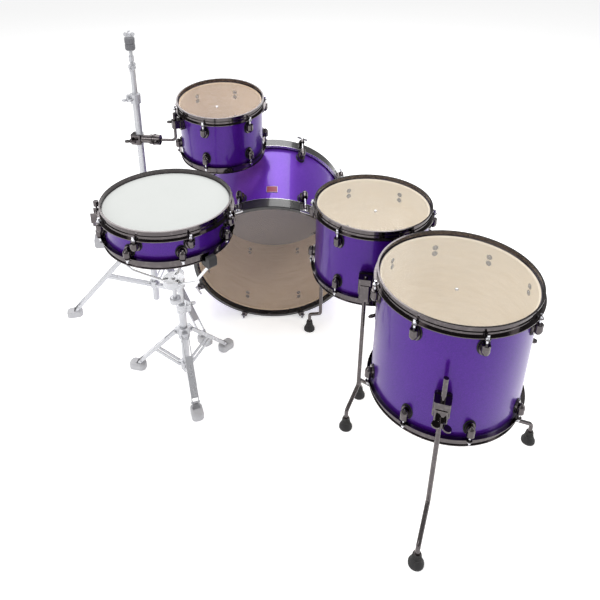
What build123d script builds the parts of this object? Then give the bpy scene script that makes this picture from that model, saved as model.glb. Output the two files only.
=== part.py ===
"""Acoustic drum kit: bass drum, two floor toms, a rack tom on a cymbal stand, and a snare on its stand.

Frame: millimetres, +Z up, the floor at Z = 0, the player sits on the -Y side.
The origin is on the floor under the middle of the kit.
"""
from build123d import *
from math import atan2, cos, degrees, radians, sin, sqrt
import os

os.makedirs("parts", exist_ok=True)

# ---------------------------------------------------------------- driving dimensions
INCH = 25.4

# Where each unit stands on the floor, and the height of its top bearing edge.
FT16_AT = (490.1, -386.7, 680.0)
FT14_AT = (320.1, 0.3, 678.0)
SNARE_AT = (-291.9, -176.7, 787.0)
RACK_AT = (-190.9, 433.3, 867.0)
BASS_AT = (-1.9, 224.3)
CYMBAL_STAND_AT = (-484.4, 374.3)
SNARE_STAND_AT = (-302.9, -30.7)

# Drums: diameter, shell depth, number of lugs and the direction of the first lug.
FT16 = dict(radius=8 * INCH, depth=14 * INCH, lugs=8, first=3.5, shift=0.0)
FT14 = dict(radius=7 * INCH, depth=240.0, lugs=6, first=50.0, shift=0.0)
RACK = dict(radius=6 * INCH, depth=8 * INCH, lugs=6, first=13.0, shift=0.0)
SNARE = dict(radius=7 * INCH, depth=3.5 * INCH, lugs=8, first=28.0, shift=-7.5)
BASS_RADIUS = 11 * INCH
BASS_DEPTH = 368.0
BASS_LUGS = 8
BASS_FIRST_LUG = 22.5
BASS_PITCH = 11.67
RACK_TILT = 7.7

SHELL_WALL = 7.0
VENT_RADIUS = 6.0
FILM = 0.6

# Flanged steel hoop, measured outwards from the shell and up from the bearing edge.
HOOP_WALL_OUT = 6.3
HOOP_LIP_OUT = 6.7
HOOP_EAR_OUT = 13.0
HOOP_TOP = 13.0
HOOP_FOOT = -15.3
HOOP_STEEL = 2.3
EAR_RADIUS = 7.5
ROD_OUT = 13.0
ROD_RADIUS = 2.9

# Lug casing.
LUG_TOP = -31.0
LUG_RADIUS = 10.5
GASKET = 1.3
LUG_SCREW_GAP = 20.0

# Bass drum hoops and claws.
BASS_HOOP_RADIUS = 294.0
BASS_HOOP_WIDTH = 45.0
BASS_HOOP_PROUD = 18.5
BASS_ROD_OUT = 27.0

# Bass spurs: angle from the top of the shell, distance along it, and the hinge pin.
SPUR_TURN = 135.0
SPUR_STATION = 250.0
SPUR_OUT = 40.0
SPUR_PIN = 5.0

# Floor tom legs. turns: direction of each leg's bracket; toes: how far its foot is turned in the
# bracket; reach: how far the foot stands out from the leg; bracket: height of the clamp block.
LEG_RADIUS = 6.35
LEG_OUT = 29.0
LEG_BEND_TOP = 125.0
LEG_BEND_FOOT = 72.0
LEG_TOP = 553.0
FOOT_RADIUS = 21.0
FOOT_HEIGHT = 44.0
FT16_LEGS = dict(
    turns=(-107.5, 13.0, 132.5), toes=(-6.0, 0.0, -20.0), reach=96.0, bracket=440.0,
    bolts_in_front=(True, True, False),
)
FT14_LEGS = dict(
    turns=(-101.0, 13.5, 133.5), toes=(-25.0, 0.0, -12.0), reach=70.0, bracket=503.0,
    bolts_in_front=(False, False, False),
)

# Stands.
TUBE_RADIUS = 12.7
UPPER_TUBE_RADIUS = 9.5
TUBE_WALL = 1.5
SLIDE_FIT = 0.05
CYMBAL_LEG_SPREAD = 328.0
CYMBAL_LEG_FIRST = 193.8
SNARE_LEG_SPREAD = 190.0
SNARE_LEG_FIRST = 167.5
CYMBAL_CLAMP_Z = 897.0
TILTER_Z = 1017.0
CYMBAL_TOP_Z = 1138.0
TOM_CLAMP_Z = 742.0
BASKET_PIVOT_Z = 470.0
BASKET_HUB_Z = 530.0
BASKET_ARM_FIRST = -47.0
ARM_PIVOT_OUT = 24.0
ARM_PIN = 2.5
RACK_BRACKET_ANGLE = 208.0
RACK_BRACKET_Z = -58.0
RACK_BRACKET_OUT = 26.0
RACK_ROD_TOP = 850.0


# ---------------------------------------------------------------- small helpers
def turned(*points):
    """Solid of revolution about Z of a closed outline of (radius, height) points."""
    outline = Polyline(*[(r, 0, z) for r, z in points], close=True)
    return revolve(make_face(outline), Axis.Z, 360)


def tube(outer, inner, low, high):
    """Round tube about Z between two heights."""
    return turned((inner, low), (outer, low), (outer, high), (inner, high))


def disc(radius, low, high):
    """Round bar about Z between two heights."""
    return Pos(0, 0, (low + high) / 2) * Cylinder(radius, high - low)


def bar_between(start, end, radius):
    """Round bar from one point to another."""
    path = Line(start, end)
    return sweep(Plane(origin=start, z_dir=path % 0) * Circle(radius), path=path)


def spun(shape, angle):
    """The shape turned about Z by an angle in degrees."""
    return Rot(0, 0, angle) * shape


def ring_of(shape, count, first):
    """Copies of a shape made at direction 0, evenly spaced about Z."""
    return [spun(shape, first + 360 * i / count) for i in range(count)]


def upside_down(shapes, depth):
    """The same fittings for the lower end of a shell, mirrored in its middle plane."""
    middle = Plane((0, 0, -depth / 2), z_dir=(0, 0, 1))
    return [mirror(shape, about=middle) for shape in shapes]


def placed(shapes, location):
    return [location * shape for shape in shapes]


def save(node, shapes):
    """Writes one node. Each shape is one or more separate solids."""
    solids = [solid for shape in shapes for solid in shape.solids()]
    export_step(Compound(children=solids), f"parts/{node}.step")
    return solids


def heading(angle, radius, z=0.0):
    """Point at a direction and distance from the Z axis."""
    return (radius * cos(radians(angle)), radius * sin(radians(angle)), z)


# ---------------------------------------------------------------- drum pieces
def shell(radius, depth, vent_angle):
    """Ply ring with bevelled bearing edges and one vent hole."""
    inner = radius - SHELL_WALL
    apex = radius - SHELL_WALL * 0.4
    bevel = SHELL_WALL * 0.5
    body = turned(
        (inner, -bevel), (apex, 0), (radius, -bevel * 0.6),
        (radius, bevel * 0.6 - depth), (apex, -depth), (inner, bevel - depth),
    )
    vent = Pos(radius, 0, -depth / 2) * Rot(0, 90, 0) * Cylinder(VENT_RADIUS, 4 * SHELL_WALL)
    return body - spun(vent, vent_angle)


def head(radius):
    """Stretched film with its collar and the flesh ring that the hoop pulls down."""
    collar = radius + 0.4
    ring_out = radius + 3.6
    return turned(
        (0, 0), (radius - SHELL_WALL * 0.4, 0), (collar, -1.6), (collar, -12.0),
        (ring_out, -12.0), (ring_out, -6.0), (collar + 0.9, -4.8), (collar + 0.9, -1.3),
        (radius - SHELL_WALL * 0.4, FILM), (0, FILM),
    )


def flanged_hoop(radius, count, first):
    """Triple-flanged steel hoop with an ear and a rod hole at each lug."""
    wall = radius + HOOP_WALL_OUT
    skirt = wall - HOOP_STEEL
    inner = radius + 1.6
    neck = inner + HOOP_STEEL
    band = turned(
        (skirt, HOOP_FOOT), (radius + HOOP_EAR_OUT, HOOP_FOOT),
        (radius + HOOP_EAR_OUT, HOOP_FOOT + HOOP_STEEL), (wall, HOOP_FOOT + HOOP_STEEL),
        (wall, -2.0), (neck, -2.0), (neck, HOOP_TOP - HOOP_STEEL),
        (radius + HOOP_LIP_OUT, HOOP_TOP - HOOP_STEEL), (radius + HOOP_LIP_OUT, HOOP_TOP),
        (inner, HOOP_TOP), (inner, -4.3), (skirt, -4.3),
    )
    ear = Pos(radius + ROD_OUT, 0, 0) * disc(EAR_RADIUS, HOOP_FOOT, HOOP_FOOT + HOOP_STEEL)
    ear -= disc(radius + HOOP_WALL_OUT - 0.5, HOOP_FOOT - 1, 0)
    hole = Pos(radius + ROD_OUT, 0, 0) * disc(ROD_RADIUS + 0.5, HOOP_FOOT - 1, 0)
    return band + ring_of(ear, count, first) - ring_of(hole, count, first)


def bullet(radius, length, bore):
    """Lug casting: a flat-ended barrel that tapers to a rounded nose, pointing down from 0."""
    waist = -length * 0.42
    outline = (
        Line((bore, 0, 0), (radius - 1.5, 0, 0))
        + Line((radius - 1.5, 0, 0), (radius, 0, -1.5))
        + Line((radius, 0, -1.5), (radius, 0, waist))
        + ThreePointArc((radius, 0, waist), (radius * 0.72, 0, -length * 0.82), (0, 0, -length))
        + Line((0, 0, -length), (0, 0, -length * 0.6))
        + Line((0, 0, -length * 0.6), (bore, 0, -length * 0.6))
        + Line((bore, 0, -length * 0.6), (bore, 0, 0))
    )
    return revolve(make_face(outline), Axis.Z, 360)


def lug(radius, out, top, length, half_width):
    """Casting, gasket and the two inside screws of one lug, at direction 0."""
    pad_half = length * 0.62
    centre = top - length * 0.5
    face = Plane(origin=(radius - 4, 0, centre), x_dir=(0, 1, 0), z_dir=(1, 0, 0))
    casting = Pos(radius + out, 0, top) * bullet(LUG_RADIUS, length, ROD_RADIUS + 0.1)
    pad = extrude(face * Ellipse(half_width, pad_half), amount=4 + out * 0.5)
    if out > 2 * LUG_RADIUS:
        pad += extrude(face * Ellipse(half_width * 0.55, pad_half * 0.6), amount=4 + out - 4)
    rod_way = Pos(radius + out, 0, 0) * disc(ROD_RADIUS + 0.1, top - length * 0.6, top + length)
    casting = casting + pad - disc(radius + GASKET, centre - length, centre + length) - rod_way
    prism = extrude(face * Ellipse(half_width + 3, pad_half + 3), amount=12)
    gasket = prism & tube(radius + GASKET, radius, centre - length, centre + length)
    inner = radius - SHELL_WALL
    screws = []
    for side in (-1, 1):
        screw = Rot(0, -90, 0) * turned((0, 0), (8, 0), (8, 1.2), (4.6, 1.2), (3.4, 3.6), (0, 3.6))
        screws.append(Pos(inner, 0, centre + side * LUG_SCREW_GAP / 2) * screw)
    washer_seat = disc(inner, centre - length, centre + length)
    return [casting, gasket] + [screw & washer_seat for screw in screws]


def tension_rod(radius, out, seat, tip):
    """Rod with washer, collar and square key head, at direction 0. seat is the ear's top face."""
    turned_part = turned(
        (0, tip), (ROD_RADIUS, tip), (ROD_RADIUS, seat), (6.4, seat), (6.4, seat + 1.6),
        (5.0, seat + 1.6), (5.0, seat + 4.6), (0, seat + 4.6),
    )
    key = Pos(0, 0, seat + 7.5) * Box(6.0, 6.0, 8.0)
    return Pos(radius + out, 0, 0) * (turned_part + key)


def drum(radius, depth, lugs, first, shift, vent_angle, lug_length=34.0, lug_top=LUG_TOP):
    """All pieces of one metal-hooped drum, its upper bearing edge at Z = 0."""
    seat = HOOP_FOOT + HOOP_STEEL
    low_first = first + shift
    one_lug = lug(radius, ROD_OUT, lug_top, lug_length, 13.5)
    one_rod = tension_rod(radius, ROD_OUT, seat, lug_top - lug_length * 0.5)
    upper_lugs = [copy for piece in one_lug for copy in ring_of(piece, lugs, first)]
    lower_lugs = [copy for piece in one_lug for copy in ring_of(piece, lugs, low_first)]
    lower_hoop = flanged_hoop(radius, lugs, low_first)
    return dict(
        shell=[shell(radius, depth, vent_angle)],
        hoops=[flanged_hoop(radius, lugs, first)] + upside_down([lower_hoop], depth),
        batter_head=[head(radius)],
        bottom_head=upside_down([head(radius)], depth),
        lugs=upper_lugs + upside_down(lower_lugs, depth),
        tension_rods=ring_of(one_rod, lugs, first)
        + upside_down(ring_of(one_rod, lugs, low_first), depth),
    )


def wing_bolt(shank_radius, shank, span):
    """Bolt along -Z with a two-lobed wing above 0."""
    bolt = disc(shank_radius, -shank, 2) + disc(shank_radius + 3.5, 0, 10)
    for side in (-1, 1):
        lobe = Pos(side * span * 0.3, 0, 10) * Rot(90, 0, 0) * Cylinder(span * 0.24, 5)
        bolt += Pos(0, 0, span * 0.06) * lobe
    return bolt


# ---------------------------------------------------------------- bass drum
def bass_hoop():
    """Wooden hoop: a thin lip over the flesh ring and a wider skirt round the shell, top face up."""
    lip = BASS_RADIUS + 1.6
    skirt = BASS_RADIUS + 4.6
    edge = 2.0
    return turned(
        (lip, BASS_HOOP_PROUD), (lip, -4.0), (skirt, -4.0),
        (skirt, BASS_HOOP_PROUD - BASS_HOOP_WIDTH),
        (BASS_HOOP_RADIUS, BASS_HOOP_PROUD - BASS_HOOP_WIDTH),
        (BASS_HOOP_RADIUS, BASS_HOOP_PROUD - edge),
        (BASS_HOOP_RADIUS - edge, BASS_HOOP_PROUD),
    )


def claw():
    """Cast hook over the hoop's outer edge, with the eye for its rod, at direction 0."""
    out = BASS_RADIUS + BASS_ROD_OUT
    top = BASS_HOOP_PROUD
    gap = 0.4
    reach = 9.0
    width = 22.0
    plate = Pos((BASS_HOOP_RADIUS - reach + out) / 2, 0, top + gap + 2) * Box(
        out - BASS_HOOP_RADIUS + reach, width, 4
    )
    side_x = BASS_HOOP_RADIUS + gap + 2
    side = Pos(side_x, 0, top - 14) * Box(4, width, 36)
    eye = Pos(out, 0, 0) * disc(8.0, top - 12, top + gap + 4)
    bore = Pos(out, 0, 0) * disc(ROD_RADIUS + 0.3, top - 20, top + 12)
    hook = plate + side + eye - bore
    return hook - disc(BASS_HOOP_RADIUS + gap, top - 40, top)


def bass_rods(lowest):
    """Bass tension rods of one side. The lowest two take a key, because a cross would foul the floor."""
    top = BASS_HOOP_PROUD + 4.6
    stem = disc(ROD_RADIUS, -58, top) + disc(6.4, top, top + 1.6) + disc(4.5, top, top + 6)
    cross = disc(4.5, top, top + 10) + Pos(0, 0, top + 13) * Rot(90, 0, 0) * Cylinder(4.0, 42)
    key = Pos(0, 0, top + 8) * Box(6.0, 6.0, 9.0)
    rods = []
    for i in range(BASS_LUGS):
        rod = Pos(BASS_RADIUS + BASS_ROD_OUT, 0, 0) * (stem + (key if i in lowest else cross))
        rods.append(spun(rod, BASS_FIRST_LUG + 360 * i / BASS_LUGS))
    return rods


def badge():
    """Plain rectangular name-plate blank on the top of the bass shell, bent to its curve."""
    width, height, thick = 40.0, 34.0, 1.6
    centre = -BASS_DEPTH * 0.30
    blank = Pos(BASS_RADIUS, 0, centre) * Box(20, width, height)
    blank = fillet(blank.edges().filter_by(Axis.X), 4)
    plate = blank & tube(BASS_RADIUS + thick, BASS_RADIUS, centre - height, centre + height)
    return spun(plate, 90)


def spur_hinge(side):
    """Frame of one spur's hinge: its X is radial to the shell, its Y is the pin. side +1 is +X."""
    turn = Rot(0, 0, SPUR_TURN * side + 90)
    return bass_place() * turn * Pos(BASS_RADIUS + SPUR_OUT, 0, SPUR_STATION)


def bass_place():
    """Drum frame to kit frame: local +Z runs from the batter side to the front, +Y is up."""
    height = BASS_HOOP_RADIUS * cos(radians(BASS_PITCH))
    return Pos(BASS_AT[0], BASS_AT[1], height) * Rot(BASS_PITCH - 90, 0, 180)


def spur_bracket(side):
    """Cast clevis on the shell that holds one spur."""
    station = SPUR_STATION
    base = Pos(BASS_RADIUS + 5, 0, station) * Box(14, 40, 52)
    base = fillet(base.edges().filter_by(Axis.X), 8)
    ears = []
    for offset in (-14, 14):
        ear = Pos(BASS_RADIUS + 26, offset, station) * Box(32, 6, 26)
        pin_line = Pos(BASS_RADIUS + SPUR_OUT, offset, station) * Rot(90, 0, 0)
        round_end = pin_line * Cylinder(13, 6)
        bore = pin_line * Cylinder(SPUR_PIN + SLIDE_FIT, 8)
        ears.append(ear + round_end - bore)
    bracket = base + ears - disc(BASS_RADIUS, station - 50, station + 50)
    return spun(bracket, SPUR_TURN * side + 90)


def spur(side):
    """Spur leg with its hinge pin and rubber tip, standing on the floor."""
    hinge = spur_hinge(side)
    start = hinge.position
    foot_z = 6.0
    lean = Vector(side * 0.55, 0.45, -0.70)
    reach = (start.Z - foot_z) / 0.70
    end = start + lean * reach
    knuckle = hinge * Rot(90, 0, 0) * (Cylinder(12, 21) + Cylinder(SPUR_PIN, 40))
    leg = knuckle + bar_between(tuple(start), tuple(start + lean * (reach - 22)), 6.0)
    tip_start = start + lean * (reach - 40)
    tip_bar = bar_between(tuple(tip_start), tuple(end), 11.0)
    floor_cut = Pos(end.X, end.Y, -50) * Box(120, 120, 100)
    socket = bar_between(tuple(tip_start - lean * 2), tuple(start + lean * (reach - 22)), 6.05)
    return [leg, tip_bar - floor_cut - socket]


def bass_drum():
    """Pieces of the bass drum about its own axis; its batter-side hoop face is at Z = 0."""
    def batter_side(shapes):
        """Fittings drawn with the hoop face up are turned to face -Z."""
        return [Pos(0, 0, BASS_HOOP_PROUD) * Rot(180, 0, 0) * shape for shape in shapes]

    def front_side(shapes):
        return [Pos(0, 0, BASS_HOOP_PROUD + BASS_DEPTH) * shape for shape in shapes]

    one_lug = lug(BASS_RADIUS, BASS_ROD_OUT, -40.0, 40.0, 15.0)
    lugs = [copy for piece in one_lug for copy in ring_of(piece, BASS_LUGS, BASS_FIRST_LUG)]
    claws = ring_of(claw(), BASS_LUGS, BASS_FIRST_LUG)
    shell_here = Pos(0, 0, BASS_HOOP_PROUD + BASS_DEPTH) * shell(BASS_RADIUS, BASS_DEPTH, 0)
    pieces = dict(
        bass_shell=[shell_here],
        bass_hoops=batter_side([bass_hoop()]) + front_side([bass_hoop()]),
        bass_batter_head=batter_side([head(BASS_RADIUS)]),
        bass_front_head=front_side([head(BASS_RADIUS)]),
        bass_lugs=batter_side(lugs) + front_side(lugs),
        bass_claws=batter_side(claws) + front_side(claws),
        bass_tension_rods=batter_side(bass_rods((1, 2))) + front_side(bass_rods((5, 6))),
        bass_badge=[mirror(badge(), about=Plane.XY)],
        bass_spur_brackets=[spur_bracket(-1), spur_bracket(1)],
    )
    return {node: placed(shapes, bass_place()) for node, shapes in pieces.items()}


# ---------------------------------------------------------------- floor toms
def leg_bracket(radius, bolt_in_front):
    """Clamp block for one leg, at direction 0 and centred on Z = 0. Its wing bolt is in front or beside."""
    plate = Pos(radius + 2, 0, 2) * Box(12, 44, 84)
    plate = fillet(plate.edges().filter_by(Axis.X), 10)
    block = Pos(radius + 24, 0, -8) * Box(38, 35, 56)
    block = fillet(block.edges().filter_by(Axis.Z), 7)
    cap = Pos(radius + 22, 0, 28) * Box(38, 42, 26)
    cap = fillet(cap.edges().filter_by(Axis.Z), 6)
    leg_way = Pos(radius + LEG_OUT, 0, 0) * disc(LEG_RADIUS + SLIDE_FIT, -60, 60)
    if bolt_in_front:
        seat = Pos(radius + 43, 4, -16) * Rot(0, 90, 0) * Rot(0, 0, 80)
    else:
        seat = Pos(radius + LEG_OUT, 17.5, -10) * Rot(-90, 0, 0) * Rot(0, 0, 30)
    bolt_way = seat * disc(4.05, -10, 4)
    body = plate + block + cap - disc(radius, -60, 60) - leg_way - bolt_way
    return [body, seat * wing_bolt(4.0, 6.5, 46)]


def leg(reach):
    """Bent round leg, its straight part on the Z axis and its rubber foot on the floor at +X."""
    path = FilletPolyline(
        (0, 0, LEG_TOP), (0, 0, LEG_BEND_TOP), (reach, 0, LEG_BEND_FOOT), (reach, 0, 10), radius=18,
    )
    rod = sweep(Plane(origin=(0, 0, LEG_TOP), z_dir=(0, 0, -1)) * Circle(LEG_RADIUS), path=path)
    foot = turned(
        (0, 0), (FOOT_RADIUS, 0), (FOOT_RADIUS, 7), (FOOT_RADIUS - 4, 15), (13, 22), (11, 30),
        (11.5, 32), (9.5, FOOT_HEIGHT), (LEG_RADIUS, FOOT_HEIGHT), (LEG_RADIUS, 10), (0, 10),
    )
    return [rod, Pos(reach, 0, 0) * foot]


def floor_tom_legs(at, radius, legs):
    """Three legs and three brackets round a floor tom."""
    brackets, leg_sets = [], []
    for direction, toe, in_front in zip(legs["turns"], legs["toes"], legs["bolts_in_front"]):
        turn = Pos(at[0], at[1], 0) * Rot(0, 0, direction)
        brackets += placed(leg_bracket(radius, in_front), turn * Pos(0, 0, legs["bracket"]))
        leg_sets.append(placed(leg(legs["reach"]), turn * Pos(radius + LEG_OUT, 0, 0) * Rot(0, 0, toe)))
    return brackets, leg_sets


# ---------------------------------------------------------------- stands
def tripod(at, first, spread, leg_top, leg_collar, hub, strip):
    """Legs, braces, feet, collar and hub of a double-braced tripod."""
    width, thick = strip
    foot_height = 26.0
    legs, braces, feet = [], [], []
    start_out = 26.0
    slope = degrees(atan2(leg_top - foot_height * 0.6, spread - start_out))
    length = sqrt((leg_top - foot_height * 0.6) ** 2 + (spread - start_out) ** 2)
    for i in range(3):
        turn = Pos(at[0], at[1], 0) * Rot(0, 0, first + 120 * i)
        run = turn * Pos(start_out, 0, leg_top) * Rot(0, slope, 0)
        rails = [Pos(length / 2 - 8, side * width / 2, 0) * Box(length - 16, thick, 11)
                 for side in (-1, 1)]
        web = Pos(length * 0.55, 0, 4) * Box(length * 0.55, width, 2)
        cross_pin = Rot(90, 0, 0) * Cylinder(3, width + 8)
        end_pin = Pos(length - 30, 0, 0) * Rot(90, 0, 0) * Cylinder(3, width + 8)
        legs.append(run * (rails[0] + rails[1] + web + cross_pin + end_pin))
        foot = Box(60, width + 18, foot_height)
        foot = fillet(fillet(foot.edges().filter_by(Axis.Z), 16).edges().group_by(Axis.Z)[-1], 9)
        rail_way = Box(60, width + thick + 0.2, 12.2)
        seat = turn * Pos(spread - 3, 0, foot_height / 2)
        feet.append(seat * foot - run * Pos(length - 16, 0, 0) * rail_way)
        mid = length * 0.52
        brace_out = start_out + mid * cos(radians(slope))
        brace_z = leg_top - mid * sin(radians(slope))
        hub_out = 24.0
        brace_angle = degrees(atan2(brace_z - hub, brace_out - hub_out))
        brace_length = sqrt((brace_out - hub_out) ** 2 + (hub - brace_z) ** 2)
        for side in (-1, 1):
            bar = Pos(brace_length / 2, 0, 0) * Box(brace_length + 12, 2.5, 12)
            offset = side * (width / 2 - thick / 2 - 2.0)
            braces.append(turn * Pos(hub_out, offset, hub) * Rot(0, -brace_angle, 0) * bar)
    return dict(
        legs=legs, braces=braces, feet=feet,
        collar=Pos(at[0], at[1], 0) * stand_collar(leg_top, 46.0, strip),
        hub=Pos(at[0], at[1], 0) * stand_collar(hub, 30.0, (width - 7, thick)),
    )


def stand_collar(z, height, strip):
    """Cast ring round the stand tube with three lugs between the strips."""
    width = strip[0]
    ring = disc(TUBE_RADIUS + 7, z - height / 2, z + height / 2)
    for i in range(3):
        ring += spun(Pos(19, 0, z) * Box(26, width - 3.5, height * 0.5), 120 * i)
    return ring - disc(TUBE_RADIUS, z - height, z + height)


def clamp_collar(z, tube_radius, height, bolt_angle):
    """Height clamp on top of a tube: split sleeve with a wing bolt."""
    sleeve = disc(tube_radius + 6, z - height / 2, z + height / 2)
    ears = Pos(tube_radius + 10, 0, z) * Box(18, 16, height * 0.7)
    ears = fillet(ears.edges().filter_by(Axis.Z), 4)
    body = sleeve + ears - disc(tube_radius, z - height, z + height)
    slot = Pos(tube_radius + 12, 0, z) * Box(20, 2.4, height + 2)
    bolt_way = Pos(tube_radius + 12, 0, z) * Rot(90, 0, 0) * Cylinder(3.55, 24)
    bolt = Pos(tube_radius + 12, 10, z) * Rot(-90, 0, 0) * wing_bolt(3.5, 18, 36)
    return [spun(body - slot - bolt_way, bolt_angle), spun(bolt, bolt_angle)]


def stand_base(at, top):
    """Lower tube with a reducing bush at the top for the upper tube."""
    bush = tube(TUBE_RADIUS - TUBE_WALL, UPPER_TUBE_RADIUS + SLIDE_FIT, top - 60, top)
    pipe = tube(TUBE_RADIUS, TUBE_RADIUS - TUBE_WALL, 22, top)
    return [Pos(at[0], at[1], 0) * (pipe + bush)]


def cymbal_stand():
    at = CYMBAL_STAND_AT
    here = Pos(at[0], at[1], 0)
    tripod_pieces = tripod(at, CYMBAL_LEG_FIRST, CYMBAL_LEG_SPREAD, 330.0, 330.0, 100.0, (24.0, 2.5))
    collars = [
        spin_about(tripod_pieces["collar"], at, CYMBAL_LEG_FIRST),
        spin_about(tripod_pieces["hub"], at, CYMBAL_LEG_FIRST),
    ]
    clamp = placed(clamp_collar(CYMBAL_CLAMP_Z, TUBE_RADIUS, 34, 180), here)
    stem_top = TILTER_Z - 14
    upper = tube(UPPER_TUBE_RADIUS, UPPER_TUBE_RADIUS - TUBE_WALL, 560, stem_top)
    fork = disc(11, stem_top, stem_top + 2)
    for side in (-1, 1):
        fork += Pos(0, side * 9, stem_top + 8) * Box(20, 4, 14)
        fork += Pos(0, side * 9, TILTER_Z) * Rot(90, 0, 0) * Cylinder(11, 4)
    pin_way = Pos(0, 0, TILTER_Z) * Rot(90, 0, 0) * Cylinder(4 + SLIDE_FIT, 60)
    knuckle = Pos(0, 0, TILTER_Z) * Rot(90, 0, 0) * (Cylinder(11, 13.2) + Cylinder(4, 34))
    wing = Pos(0, -17, TILTER_Z) * Rot(90, 0, 0) * Rot(0, 0, 90) * wing_bolt(4, 2, 32)
    sleeve = disc(6.2, TILTER_Z, TILTER_Z + 48) + disc(9, TILTER_Z + 15, TILTER_Z + 34)
    rod = disc(3.9, TILTER_Z + 30, CYMBAL_TOP_Z)
    felt_low = TILTER_Z + 56
    cup = turned((4.0, felt_low - 3), (13, felt_low - 3), (13, felt_low), (4.0, felt_low))
    lower_felt = turned(
        (4.2, felt_low + 0.2), (16, felt_low + 0.2), (17.5, felt_low + 4), (17.5, felt_low + 18),
        (16, felt_low + 21), (4.2, felt_low + 21),
    )
    upper_felt = Pos(0, 0, 21.5) * lower_felt
    nut_seat = felt_low + 43.5
    nut = disc(8, nut_seat, nut_seat + 10)
    for side in (-1, 1):
        nut += Pos(side * 12, 0, nut_seat + 9) * Rot(90, 0, 0) * Cylinder(7, 4)
    nut -= disc(3.95, nut_seat - 5, nut_seat + 30)
    return tripod_pieces, dict(
        cymbal_stand_base_tube=stand_base(at, CYMBAL_CLAMP_Z + 17) + clamp + collars,
        cymbal_stand_upper_tube=placed([upper + fork - pin_way], here),
        cymbal_tilter=placed([knuckle + wing + sleeve + rod + cup], here),
        cymbal_felts=placed([lower_felt, upper_felt], here),
        cymbal_wing_nut=placed([nut], here),
    )


def spin_about(shape, at, angle):
    """The shape turned about a vertical axis through a floor point."""
    return Pos(at[0], at[1], 0) * Rot(0, 0, angle) * Pos(-at[0], -at[1], 0) * shape


def tom_holder():
    """Clamp on the stand tube, ratchet head and bent rod that carry the rack tom."""
    at = CYMBAL_STAND_AT
    here = Pos(at[0], at[1], TOM_CLAMP_Z) * Rot(0, 0, holder_turn())
    bite = TUBE_RADIUS + SLIDE_FIT
    jaws = Pos(-9, 0, 0) * Box(40, 40, 36)
    jaws = fillet(jaws.edges().filter_by(Axis.Z), 8)
    arm = Pos(29, 0, 0) * Rot(0, 90, 0) * Cylinder(15, 44)
    collar = Pos(46, 0, 0) * Rot(0, 90, 0) * Cylinder(18, 10)
    split = Pos(-17, 0, 0) * Box(26, 3, 60)
    bolt_way = Pos(-22, 0, 0) * Rot(90, 0, 0) * Cylinder(4.05, 60)
    pivot_way = Pos(46, 0, 0) * Rot(0, 90, 0) * Cylinder(7 + SLIDE_FIT, 16)
    clamp = jaws + arm + collar - disc(bite, -30, 30) - split - bolt_way - pivot_way
    bolts = []
    for side in (-1, 1):
        turn = Rot(-90 * side, 0, 0)
        bolts.append(Pos(-22, side * 21, 0) * turn * wing_bolt(4.0, 18, 40))
    head_start = 52.0
    ratchet = Pos(head_start + 14, 0, 0) * Rot(0, 90, 0) * Cylinder(19, 26)
    teeth = Pos(head_start + 5, 0, 0) * Rot(0, 90, 0) * Cylinder(20.5, 5)
    pivot = Pos(head_start - 6, 0, 0) * Rot(0, 90, 0) * Cylinder(7, 15)
    rod_way_start = head_start + 20
    ratchet = ratchet + teeth + pivot
    rod_x = holder_reach()
    corner_z = 4.0
    rod_path = FilletPolyline(
        (rod_way_start, 0, 0), (rod_x, 0, corner_z), (rod_x, 0, RACK_ROD_TOP - TOM_CLAMP_Z),
        radius=16,
    )
    rod_plane = Plane(origin=(rod_way_start, 0, 0), z_dir=rod_path % 0)
    rod = sweep(rod_plane * Circle(5.2), path=rod_path)
    ratchet -= Pos(rod_way_start + 6, 0, 0.2) * Rot(0, 90, 0) * Cylinder(5.6, 14)
    eye_bolt = Pos(head_start + 16, -19, 0) * Rot(90, 0, 0) * wing_bolt(4.0, 2, 30)
    return dict(
        tom_clamp=placed([clamp] + bolts, here),
        tom_ratchet_head=placed([ratchet + eye_bolt], here),
        tom_l_rod=placed([rod], here),
    )


def rack_rod():
    """Plan position of the upright rod in the rack tom's bracket."""
    out = heading(RACK_BRACKET_ANGLE, RACK["radius"] + RACK_BRACKET_OUT)
    return (RACK_AT[0] + out[0], RACK_AT[1] + out[1])


def holder_turn():
    """Direction of the holder's arm from the stand to the upright rod."""
    rod = rack_rod()
    return degrees(atan2(rod[1] - CYMBAL_STAND_AT[1], rod[0] - CYMBAL_STAND_AT[0]))


def holder_reach():
    """Distance from the stand to the upright rod."""
    rod = rack_rod()
    return sqrt((rod[1] - CYMBAL_STAND_AT[1]) ** 2 + (rod[0] - CYMBAL_STAND_AT[0]) ** 2)


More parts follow.
